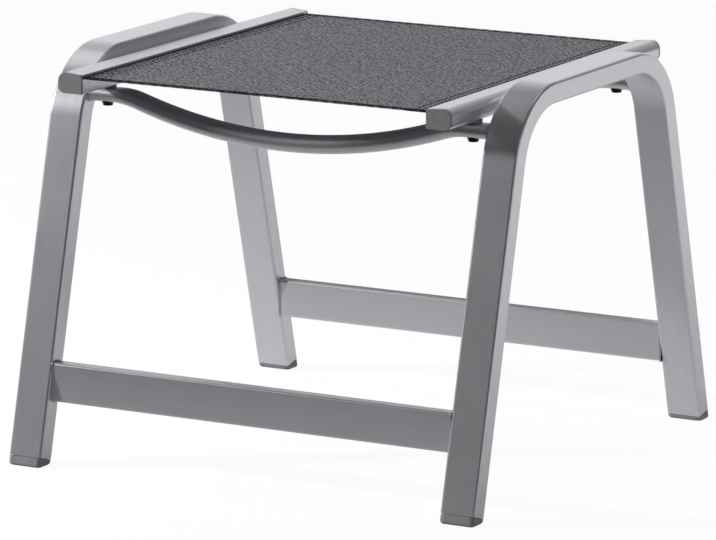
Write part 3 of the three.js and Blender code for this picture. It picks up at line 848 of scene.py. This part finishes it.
def make_weave_group():
    """Paired yarns, two over and two under, from a place in metres: the yarn shade, the height, and the gaps
    with painted shade between the yarns.
    """
    group, start, end = new_group("paired_yarn_weave", {"Place": "Vector", "Pitch": "Float"},
                                  {"Shade": "Float", "Height": "Float", "Gap Shade": "Float"})

    def take(operation, first, second=0.0):
        return maths(group, operation, first, second)

    parts = add_node(group, "SeparateXYZ", {0: start.outputs["Place"]})
    across = take("DIVIDE", parts.outputs["X"], start.outputs["Pitch"])
    along = take("DIVIDE", parts.outputs["Y"], start.outputs["Pitch"])
    column, row = take("FLOOR", across), take("FLOOR", along)
    warp_way, weft_way = take("ADD", column, along), take("ADD", across, row)
    turn = take("FLOORED_MODULO", take("ADD", column, row), weave_repeat)
    warp_up = take("LESS_THAN", turn, weave_repeat / 2)

    def yarn(line, phase):
        """How round a yarn is across its line, and its height where it bows over and under."""
        flat, bow = yarn_height_shares
        roundness = take("ABSOLUTE", take("SINE", take("MULTIPLY", line, 2 * math.pi)))
        wave = take("SINE", take("MULTIPLY", phase, 2 * math.pi / weave_repeat))
        return roundness, take("MULTIPLY", roundness, take("ADD", flat, take("MULTIPLY", wave, bow)))

    def float_number(way):
        """Which of a yarn's floats a place lies on."""
        return take("FLOOR", take("DIVIDE", way, weave_repeat))

    warp_round, warp_top = yarn(across, warp_way)
    weft_round, weft_top = yarn(along, take("ADD", weft_way, weave_repeat / 2))
    warp_id = add_node(group, "CombineXYZ", {"X": column, "Y": float_number(warp_way), "Z": 1.0}).outputs[0]
    weft_id = add_node(group, "CombineXYZ", {"X": float_number(weft_way), "Y": row, "Z": 2.0}).outputs[0]
    yarn_id = mixed(group, warp_up, weft_id, warp_id, "VECTOR")
    dye = add_node(group, "TexWhiteNoise", {"Vector": yarn_id}, noise_dimensions="3D").outputs["Value"]
    stretched = vector_maths(group, "MULTIPLY", start.outputs["Place"], slub_stretch)
    slubs = noise(group, stretched, scale=slub_scale, detail=1.0)
    dyed = mixed(group, slub_share, dye, rescaled(group, slubs, slub_span))
    flecked = rescaled(group, dyed, fleck_span)
    set_sockets(group, end, {
        "Shade": mixed(group, fleck_share, take("SUBTRACT", 1.0, warp_up), flecked),
        "Height": mixed(group, warp_up, weft_top, warp_top),
        # Gaps between the yarns, painted dark: the holes, and painted shade where the yarns part.
        "Gap Shade": take("LESS_THAN", mixed(group, warp_up, weft_round, warp_round), gap_shade_share)})
    return group


yarn_weave = make_weave_group()
stitch_rows = (0.0092, 0.0168)  # from the rail's inner side
stitch_pitch = 0.008
stitch_shade_wave = (-0.7, 0.1)  # of a cosine along a row, where the painted shade of the puckers goes from light to full
stitch_shade_shares = (0.2, 1.0)  # how dark the painted shade is between stitches, and at them
painted_shade_reach = (0.0021, 0.0008)  # from a row, where the painted shade starts and where it is full


def make_sling_cloth():
    """Coated yarn in mixed greys, with painted shade between the yarns, at the slots and where stitches draw
    it in.
    """
    material, tree, shader = new_material("woven_coated_yarn")
    place = add_node(tree, "UVMap", uv_map="cut_place").outputs["UV"]
    weave = add_node(tree, "Group", {"Place": place, "Pitch": pair_pitch}, node_tree=yarn_weave)
    parts = add_node(tree, "SeparateXYZ", {0: place})
    outward = maths(tree, "ABSOLUTE", parts.outputs["X"])
    wave = maths(tree, "COSINE", maths(tree, "MULTIPLY", parts.outputs["Y"], 2 * math.pi / stitch_pitch))
    shade_by_stitch = rescaled(tree, wave, stitch_shade_wave, stitch_shade_shares)
    # Painted shade: in the gaps between the yarns, full where the cloth enters the rail's slot, and along
    # each row of stitches, darkest at them.
    shadow = weave.outputs["Gap Shade"]
    for row, depth in ((0.0, 1.0), *((row, shade_by_stitch) for row in stitch_rows)):
        away = maths(tree, "ABSOLUTE", maths(tree, "SUBTRACT", outward, rail_low[0] - row))
        shadow = maths(tree, "MAXIMUM", shadow, rescaled(tree, away, painted_shade_reach, (0, depth)))
    yarn = mixed(tree, weave.outputs["Shade"], yarn_shade, yarn_tone, "RGBA")
    bump = add_node(tree, "Bump", {"Height": weave.outputs["Height"], "Distance": 0.0002, "Strength": 0.7})
    set_sockets(tree, shader, {"Base Color": mixed(tree, shadow, yarn, yarn_shade, "RGBA"),
                               "Normal": bump.outputs["Normal"], "Roughness": 0.55})
    return material


sling_cloth = make_sling_cloth()
bpy.ops.object.select_all(action="DESELECT")
bpy.ops.mesh.primitive_grid_add(x_subdivisions=cloth_columns, y_subdivisions=cloth_rows, size=1)
sling = begin("sling_cloth", (2 * cloth_half, cloth_length, 1))
bpy.ops.object.mode_set(mode="OBJECT")
cut_place = sling.data.uv_layers.new(name="cut_place")
for loop in sling.data.loops:
    spot = sling.data.vertices[loop.vertex_index].co
    cut_place.data[loop.index].uv = (spot.x, spot.y)
for layer in [layer for layer in sling.data.uv_layers if layer.name != "cut_place"]:
    sling.data.uv_layers.remove(layer)
for vertex in sling.data.vertices:
    vertex.co = held_place(vertex.co.x, vertex.co.y)
thicken(cloth_thickness, offset=0)
smooth(degrees=50)
fit_out(sling, sling_cloth, "sling_fabric", "sling")


# Seams. Black polyester thread: two rows of lock stitches hold each side hem, and an overlock runs round the
# free front and rear edges. The seams are laid out on the flat cloth and then carried to where it hangs.
stitch_length = 0.0056
thread_radius = 0.00045
overlock_width = 0.0042
overlock_pitch = 0.0019
overlock_half_height = 0.0011
overlock_shares = (0.3, 0.4, 0.5, 0.8)  # of a pitch: up at the edge, round it, down at it and back in
upper_thread_z = cloth_thickness / 2 + thread_radius / 2
lower_thread_z = -cloth_lie - cloth_thickness / 2 - thread_radius / 2


def make_thread():
    """Matt black twisted thread."""
    material, tree, shader = new_material("black_polyester_thread")
    fuzz = noise(tree, own_place(tree), scale=2400.0, detail=2.0)
    colour = mixed(tree, fuzz, (0.006, 0.006, 0.007, 1), (0.022, 0.022, 0.024, 1), "RGBA")
    set_sockets(tree, shader, {"Base Color": colour, "Roughness": 0.8})
    return material


black_thread = make_thread()


def finish_seam(seam):
    """Moves a seam that lies on the flat cloth to where that cloth hangs, and fits it out."""
    for vertex in seam.data.vertices:
        vertex.co = held_place(vertex.co.x, vertex.co.y) + Vector((0, 0, vertex.co.z))
    bpy.ops.object.shade_smooth()
    fit_out(seam, black_thread, "sling_fabric")


stitch_count = 2 * int((cloth_length / 2 - overlock_width) / stitch_pitch) + 1
first_stitch_y = -(stitch_count - 1) * stitch_pitch / 2
bpy.ops.object.select_all(action="DESELECT")
bpy.ops.mesh.primitive_uv_sphere_add(segments=6, ring_count=4, radius=1,
                                     location=(rail_low[0] - stitch_rows[0], first_stitch_y, upper_thread_z))
hem_stitches = begin("side_hem_stitches", (thread_radius, stitch_length / 2, thread_radius))
bpy.ops.object.mode_set(mode="OBJECT")
for count, shift in ((2, (stitch_rows[0] - stitch_rows[1], 0, 0)),
                     (2, (0, 0, lower_thread_z - upper_thread_z)),
                     (stitch_count, (0, stitch_pitch, 0))):
    use_modifier("ARRAY", count=count, use_relative_offset=False, use_constant_offset=True,
                 constant_offset_displace=shift)
use_modifier("MIRROR", use_axis=(True, False, False), use_mirror_merge=False)
finish_seam(hem_stitches)


def make_overlock(name, end):
    """One thread that loops over a free edge, down through the cloth and back, from rail to rail."""
    loops = int(2 * (rail_low[0] - thread_radius) / overlock_pitch)
    edge_y = cloth_length / 2
    up, round_edge, down, back = (share * overlock_pitch for share in overlock_shares)
    points = []
    for loop in range(loops):
        x = (loop - (loops - 1) / 2) * overlock_pitch
        below = lower_thread_z if abs(x) > hem_end_x else -upper_thread_z
        points += [(x, edge_y - overlock_width, upper_thread_z),
                   (x + up, edge_y, overlock_half_height),
                   (x + round_edge, edge_y + thread_radius, 0),
                   (x + down, edge_y, -overlock_half_height),
                   (x + back, edge_y - overlock_width, below)]
    curve = bpy.data.curves.new(name, "CURVE")
    curve.dimensions = "3D"
    spline = curve.splines.new("POLY")
    spline.points.add(len(points) - 1)
    for point, (x, y, z) in zip(spline.points, points):
        point.co = (x, end * y, z, 1)
    curve.bevel_depth = thread_radius
    curve.bevel_resolution = 0
    seam = bpy.data.objects.new(name, curve)
    bpy.context.collection.objects.link(seam)
    make_active(seam)
    bpy.ops.object.convert(target="MESH")
    finish_seam(seam)


make_overlock("front_overlock", -1)
make_overlock("rear_overlock", 1)


# Studio. A pale sweep lies under and behind the stool and shows white, in its metal too, but for a soft cast
# shadow and, in the metal only, a painted shade near the stool. The room is dim. A small key lamp on the
# left gives most of the light, and three weak, soft lamps overhead and on the right lift what it leaves
# dark.
floor_size = 8.0
white = (1, 1, 1, 1)
dim_room = (0.07, 0.07, 0.07, 1)
sweep_colour = (0.86, 0.86, 0.86, 1)
sweep_seen_colour = (0.14, 0.14, 0.14, 1)
sweep_glow = 0.93
sweep_facing = (0.3, 0.95, 0)  # the floor is pale behind the stool and to its right
sweep_reach = (-0.8, 0.5)  # that way, from where the floor is dim to where it is pale
wall_facing = (-0.45, 0.89, 0)  # and the wall above it to the left
wall_reach = (0.55, 0.92)
ceiling_reach = (0.55, 0.28)  # how steeply up, from where the wall has faded to where it is full
ceiling_share = 0.3  # of the white behind, above it
shade_centre = (0.3, 0.5, 0)  # of the painted shade, soft and long, in the floor's glow that the metal mirrors
shade_stretch = (1, 0.35, 1)
shade_reach = (0.1, 0.85)
shade_strength = (0.5, 1.07)  # of the mirrored floor, at the shade's middle and beyond it
card_breadth = 0.9
card_height = 0.46
card_place = (-0.6, 1.0, 0.23)
lamp_aim = Vector((0, 0, 0.3))  # a little below the seat


def seen_by(tree, sweep):
    """One for camera rays everywhere, and for glossy and transmission rays where the sweep lies."""
    rays = add_node(tree, "LightPath")
    bounced = maths(tree, "MAXIMUM", rays.outputs["Is Glossy Ray"], rays.outputs["Is Transmission Ray"])
    return maths(tree, "MAXIMUM", rays.outputs["Is Camera Ray"], maths(tree, "MULTIPLY", bounced, sweep))


bpy.ops.object.select_all(action="DESELECT")
bpy.ops.mesh.primitive_plane_add(size=floor_size)
floor = bpy.context.object
floor.name = "studio_floor"
floor_material, tree, shader = new_material("pale_floor")
place = own_place(tree)
sweep = rescaled(tree, vector_maths(tree, "DOT_PRODUCT", place, sweep_facing), sweep_reach)
# Painted shade: it dims the floor's glow near the stool for glossy rays, where the metal mirrors it.
aside = vector_maths(tree, "SUBTRACT", place, shade_centre)
drawn_up = vector_maths(tree, "MULTIPLY", aside, shade_stretch)
shade = rescaled(tree, vector_maths(tree, "LENGTH", drawn_up), shade_reach, shade_strength)
seen = seen_by(tree, maths(tree, "MULTIPLY", sweep, shade))
lit_colour = mixed(tree, sweep, dim_room, sweep_colour, "RGBA")
set_sockets(tree, shader, {"Base Color": mixed(tree, seen, lit_colour, sweep_seen_colour, "RGBA"),
                           "Emission Color": white,
                           "Emission Strength": maths(tree, "MULTIPLY", seen, sweep_glow),
                           "Roughness": 0.9, "Specular IOR Level": 0.1})
floor.data.materials.append(floor_material)

# A low dark card behind the stool to the left, out of the picture and casting no shadow, which the
# stretchers' tops mirror: a painted dark reflection.
card = begin_plane("studio_dark_card", card_breadth, card_height, card_place, (math.pi / 2, 0, 0))
bpy.ops.object.mode_set(mode="OBJECT")
card.visible_camera = False
card.visible_shadow = False
card_material, tree, shader = new_material("dark_card")
set_sockets(tree, shader, {"Base Color": (0.01, 0.01, 0.01, 1), "Roughness": 1, "Specular IOR Level": 0})
card.data.materials.append(card_material)

world = bpy.context.scene.world or bpy.data.worlds.new("studio")
bpy.context.scene.world = world
world.use_nodes = True
tree = world.node_tree
way = add_node(tree, "TexCoord").outputs["Generated"]
behind = rescaled(tree, vector_maths(tree, "DOT_PRODUCT", way, wall_facing), wall_reach,
                  interpolation_type="SMOOTHSTEP")
steepness = add_node(tree, "SeparateXYZ", {0: way}).outputs["Z"]
below = rescaled(tree, steepness, ceiling_reach, (ceiling_share, 1), interpolation_type="SMOOTHSTEP")
wall = maths(tree, "MULTIPLY", behind, below)
wall_colour = mixed(tree, wall, dim_room, white, "RGBA")
set_sockets(tree, tree.nodes["Background"], {
    "Color": mixed(tree, seen_by(tree, wall), wall_colour, white, "RGBA"), "Strength": 1.0})

for name, spot, size, watts in (("left_key", (-2.88, -1.62, 1.7), 0.3, 64),
                                ("left_overhead", (-0.95, 0.19, 1.55), 0.75, 1.7),
                                ("right_overhead", (0.5, 0.3, 1.5), 0.6, 1.2),
                                ("right_fill", (2.6, -0.3, 0.7), 1.2, 3)):
    turn = (lamp_aim - Vector(spot)).to_track_quat("-Z", "Y").to_euler()
    bpy.ops.object.select_all(action="DESELECT")
    bpy.ops.object.light_add(type="AREA", location=spot, rotation=turn)
    lamp = bpy.context.object
    lamp.name = name
    lamp.data.shape = "SQUARE"
    lamp.data.size = size
    lamp.data.energy = watts
bpy.context.scene.view_settings.view_transform = "Standard"
